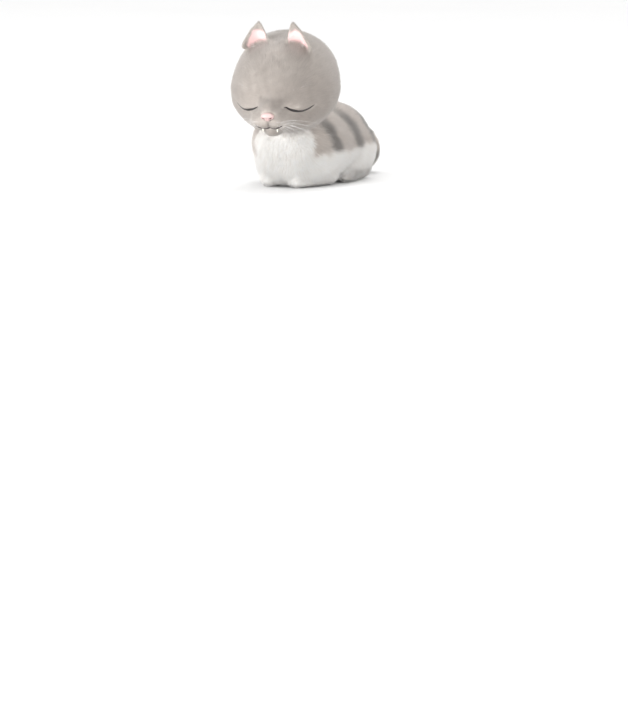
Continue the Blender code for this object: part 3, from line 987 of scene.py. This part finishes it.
# The fine hairs: radius at the root, and how far the tip sags as a share of the length.
WHISKER = (0.08 * MM, 0.16)
BROW_HAIR = (0.055 * MM, 0.25)
EAR_HAIR = (0.085 * MM, 0.05)
WHISKER_ROWS = 3
WHISKER_COLUMNS = 4
PAD_START = (0.078, -0.140)  # the first root, across and up, in head widths
COLUMN_STEP = 0.026
ROW_STEP = (0.008, -0.024)
WHISKER_LENGTH = 22  # mm, next to the nose
OUTER_LENGTH = 14  # how much longer the outermost are, in mm
ROW_LENGTH = 5  # how much shorter a row is away from the longest one, in mm
LONGEST_ROW = 0.4
BROW_START = (0.205, 0.085)
BROW_STEP = (0.030, 0.006)
BROW_HAIRS = 4
BROW_LENGTH = 12 * MM
EAR_HAIRS = 75
EAR_FRONT = 25 * MM  # from where the inner face of an ear is looked for
EAR_SLACK = 4 * MM  # how far from its outline it may be


def whiskers():
    """Whiskers in rows on each pad, and a few long hairs over each eye."""
    chance = np.random.default_rng(5)
    made = []
    for _, side in SIDES:
        for row in range(WHISKER_ROWS):
            for column in range(WHISKER_COLUMNS):
                outer, lower = column / (WHISKER_COLUMNS - 1), row / (WHISKER_ROWS - 1)
                across = PAD_START[0] + COLUMN_STEP * column + ROW_STEP[0] * row
                root, _ = on_face([across * side], [PAD_START[1] + ROW_STEP[1] * row])
                way = np.array((side * (1.0 + 0.2 * outer), -0.55 + 0.75 * outer, 0.12 - 0.42 * lower))
                length = WHISKER_LENGTH + OUTER_LENGTH * outer - ROW_LENGTH * abs(lower - LONGEST_ROW)
                length = length * MM * chance.uniform(0.85, 1.1)
                made.append(hair(root[0], way, length, *WHISKER, chance))
        for k in range(BROW_HAIRS):
            across, up = BROW_START[0] + BROW_STEP[0] * k, BROW_START[1] + BROW_STEP[1] * k
            root, _ = on_face([side * across], [up])
            way = np.array((side * (0.35 + 0.16 * k), -0.55, 0.75))
            made.append(hair(root[0], way, BROW_LENGTH * chance.uniform(0.8, 1.1), *BROW_HAIR, chance))
    piece("whiskers", new_mesh("whiskers", *joined(made)), HAIR, "coat_white")


def ear_hairs():
    """Long fine hairs that sweep out across each ear, most from its inner rim and some from its foot."""
    chance = np.random.default_rng(9)
    for word, side in SIDES:
        made = []
        for k in range(EAR_HAIRS):
            up = chance.uniform(0.10, 0.62) ** 1.15
            across = chance.uniform(-0.98, -0.70) if k % 3 else chance.uniform(-0.9, 0.35)
            up = up if k % 3 else chance.uniform(0.14, 0.24)
            root = on_ear(across, up, side)
            if root is None:
                continue
            way = from_ear_way((0.75 - 0.3 * across, -0.35, 0.75 + 0.3 * chance.normal())) * (side, 1, 1)
            length = chance.uniform(6, 11) * (1 - 0.4 * up) * MM
            made.append(hair(root, way, length, *EAR_HAIR, chance))
        piece(f"ear_hairs_{word}", new_mesh(f"ear_hairs_{word}", *joined(made)), HAIR, "coat_white")


def from_ear_way(direction):
    """A direction in the left ear's own frame as one in the head's frame."""
    return unit(np.asarray(direction, float) @ EAR_STAND.T)


def on_ear(across, up, side):
    """The place on an ear's inner face this far out across it and up it, or None beside the ear."""
    local = np.array((across * ear_half(up) + EAR_TIP_LEAN * up**2, -EAR_FRONT, up * EAR_HEIGHT))
    start = from_head((EAR_PLACE + local @ EAR_STAND.T / HEAD) * (side, 1, 1))
    way = head_way(from_ear_way((0.0, 1.0, 0.0)) * (side, 1, 1))
    hit, _, _, distance = SKIN_TREE.ray_cast(Vector(start), Vector(way))
    return np.array(hit) if hit is not None and abs(distance - EAR_FRONT) < EAR_SLACK else None


def hair(root, way, length, radius, sag, chance):
    """One stiff hair that curves down towards its tip; way is in the head's own frame."""
    turn, taper = 0.05, 0.88
    way = unit(head_way(way) + chance.normal(scale=turn, size=3))
    share = np.linspace(0, 1, 12)
    points = root + np.outer(share, way) * length
    points -= np.outer(share**2, UP) * length * sag
    return strand(points, radius * (1 - taper * share), 5)


# -------- materials


class Nodes:
    """A material's node tree, with short ways to add to it."""

    def __init__(self, name, **settings):
        self.material = bpy.data.materials.new(name)
        self.material.use_nodes = True
        self.tree = self.material.node_tree
        self.shader = self.tree.nodes["Principled BSDF"]
        for socket, value in settings.items():
            self.shader.inputs[socket.replace("_", " ")].default_value = value

    def add(self, kind, settings=(), **inputs):
        """Adds a node; an input is a value or another node's output."""
        node = self.tree.nodes.new(kind)
        for key, value in dict(settings).items():
            setattr(node, key, value)
        for name, value in inputs.items():
            socket = node.inputs[int(name[1:]) if name[0] == "_" else name]
            if isinstance(value, bpy.types.NodeSocket):
                self.tree.links.new(value, socket)
            else:
                socket.default_value = value
        return node

    def noise(self, scale, detail=3.0, roughness=0.55):
        """Noise over the object's own space, features per metre."""
        place = self.add("ShaderNodeTexCoord").outputs["Object"]
        return self.add(
            "ShaderNodeTexNoise", Vector=place, Scale=scale, Detail=detail, Roughness=roughness
        ).outputs["Fac"]

    def range(self, value, low, high):
        """The value from 0..1 as low..high."""
        node = self.add("ShaderNodeMapRange", Value=value)
        node.inputs["To Min"].default_value = low
        node.inputs["To Max"].default_value = high
        return node.outputs["Result"]

    def scaled(self, colour, factor):
        """A colour times a factor."""
        node = self.add("ShaderNodeVectorMath", {"operation": "MULTIPLY"}, _0=colour, _1=factor)
        return node.outputs[0]

    def link(self, output, socket):
        """Joins an output to a socket of the shader."""
        self.tree.links.new(output, self.shader.inputs[socket])


def mottled_material(name, dark, light, scale, roughness):
    """A material whose colour drifts between two."""
    nodes = Nodes(name, Roughness=roughness)
    mottle = nodes.add("ShaderNodeMix", {"data_type": "RGBA"}, Factor=nodes.noise(scale))
    mottle.inputs["A"].default_value = (*dark, 1)
    mottle.inputs["B"].default_value = (*light, 1)
    nodes.link(mottle.outputs["Result"], "Base Color")
    return nodes.material


def plain_material(name, colour, roughness):
    """A material of one colour with a faint mottling."""
    dark, light = np.multiply(colour, 0.82), np.minimum(np.multiply(colour, 1.12), 1)
    return mottled_material(name, dark, light, 600.0, roughness)


GRAIN_DEPTH = 0.2 * MM


def coloured_material(name, variation, scale, grain=0.0, **settings):
    """A material that shows the markings held in the mesh, with fine variation over them."""
    nodes = Nodes(name, **settings)
    if grain:
        pebbles = nodes.noise(2600.0, 2.0)
        bumps = nodes.add("ShaderNodeBump", Strength=grain, Distance=GRAIN_DEPTH, Height=pebbles)
        nodes.link(bumps.outputs["Normal"], "Normal")
    marks = nodes.add("ShaderNodeAttribute", {"attribute_name": "marks"}).outputs["Color"]
    shade = nodes.range(nodes.noise(scale), 1 - variation, 1 + variation)
    nodes.link(nodes.scaled(marks, shade), "Base Color")
    return nodes.material


def paint(mesh, colours):
    """Stores a colour for each vertex as the mesh's markings."""
    rows = np.ones((len(mesh.vertices), 4), np.float32)
    rows[:, :3] = colours
    layer = mesh.color_attributes.new("marks", "FLOAT_COLOR", "POINT")
    layer.data.foreach_set("color", rows.ravel())


# -------- the studio


CAT_MIDDLE = Vector((0, 0, 75 * MM))
CAMERA_AZIMUTH = math.radians(28)
CAMERA_ELEVATION = math.radians(5)
CAMERA_DISTANCE = 3.0
CAMERA_LENS = 165  # mm
CAMERA_SENSOR = 36  # mm
CAMERA_ACROSS = 6 * MM  # how far beside and below the cat's middle the camera aims
CAMERA_BELOW = 239 * MM
FLOOR_RADIUS = 14
FLOOR_COLOURS = ((0.90, 0.90, 0.895), (0.86, 0.86, 0.86))
SKY_STRENGTH = 1.05
# Round lights that face the cat: name, place, diameter and power in watts.
LIGHTS = [
    ("key", Vector((-1.1, -2.0, 0.5)), 0.9, 43),
    ("side", Vector((1.9, -1.2, 0.45)), 1.2, 17),
    ("top", Vector((0.1, 0.6, 1.9)), 1.0, 9),
]


def looking(place, aim):
    """The turn that points a lamp or a camera at this place towards its aim."""
    return (aim - place).to_track_quat("-Z", "Y").to_euler()


def stage():
    """A pale floor, soft lights and a camera that looks from a little above, to the cat's left."""
    bpy.ops.mesh.primitive_circle_add(vertices=96, radius=FLOOR_RADIUS, fill_type="NGON")
    floor = bpy.context.object
    floor.name = "floor"
    floor.data.materials.append(mottled_material("floor_paint", *FLOOR_COLOURS, 3.0, 0.85))
    world = bpy.data.worlds.new("studio")
    bpy.context.scene.world = world
    world.use_nodes = True
    world.node_tree.nodes["Background"].inputs["Color"].default_value = (1, 1, 1, 1)
    world.node_tree.nodes["Background"].inputs["Strength"].default_value = SKY_STRENGTH
    for name, place, size, power in LIGHTS:
        light = bpy.data.lights.new(name, "AREA")
        light.shape = "DISK"
        light.size = size
        light.energy = power
        lamp = added(name, light)
        lamp.location = place
        lamp.rotation_euler = looking(place, CAT_MIDDLE)
    data = bpy.data.cameras.new("camera")
    data.sensor_width = CAMERA_SENSOR
    data.lens = CAMERA_LENS
    data.clip_end = 100
    camera = added("camera", data)
    side, up = CAMERA_AZIMUTH, CAMERA_ELEVATION
    back = Vector((math.sin(side) * math.cos(up), -math.cos(side) * math.cos(up), math.sin(up)))
    across = Vector((math.cos(side), math.sin(side), 0))
    aim = CAT_MIDDLE + across * CAMERA_ACROSS - Vector((0, 0, CAMERA_BELOW))
    camera.location = CAT_MIDDLE + back * CAMERA_DISTANCE
    camera.rotation_euler = looking(camera.location, aim)
    bpy.context.scene.camera = camera
    bpy.context.scene.view_settings.view_transform = "Standard"


# -------- making the cat

skin = make_skin()
stage()
mesh = new_mesh("skin", skin.points, skin.triangles)
paint(mesh, skin.marks * SKIN_SHADE)
piece("skin", mesh, coloured_material("skin", 0.05, 400, Roughness=0.7), "coat_grey", *FLESH)

SKIN_TREE = BVHTree.FromPolygons(skin.points.tolist(), skin.triangles.tolist())
LID = plain_material("lid", (0.014, 0.011, 0.011), 0.35)
LIP = plain_material("lip", (0.030, 0.016, 0.016), 0.4)
ENAMEL = plain_material("enamel", (0.93, 0.90, 0.80), 0.18)
HAIR = plain_material("whisker", (0.93, 0.92, 0.90), 0.35)
LEATHER = coloured_material("nose_leather", 0.05, 1500, grain=0.10, Roughness=0.34)
eyelids()
mouth()
canines()
nose()
whiskers()
ear_hairs()

FUR = coloured_material("fur", 0.06, 900, Roughness=0.62, Specular_IOR_Level=0.25, Sheen_Weight=0.25)
for seed, (word, side) in enumerate(SIDES):
    coat(f"coat_head_{word}", REGIONS["head"], "coat_grey", "head", side, seed=10 + seed)
    coat(f"coat_ear_{word}", [f"ear_{word}"], "coat_grey", "ear", seed=20 + seed)
    coat(f"coat_trunk_{word}", ["trunk"], "coat_grey", "round", side, seed=30 + seed)
    coat(f"coat_foreleg_{word}", [f"foreleg_{word}"], "coat_white", seed=40 + seed)
    coat(f"coat_hindleg_{word}", [f"hindleg_{word}"], "coat_white", seed=50 + seed)
coat("coat_neck", ["neck"], "coat_grey", seed=60)
coat("coat_tail", REGIONS["tail"], "coat_grey", "tail", seed=70)
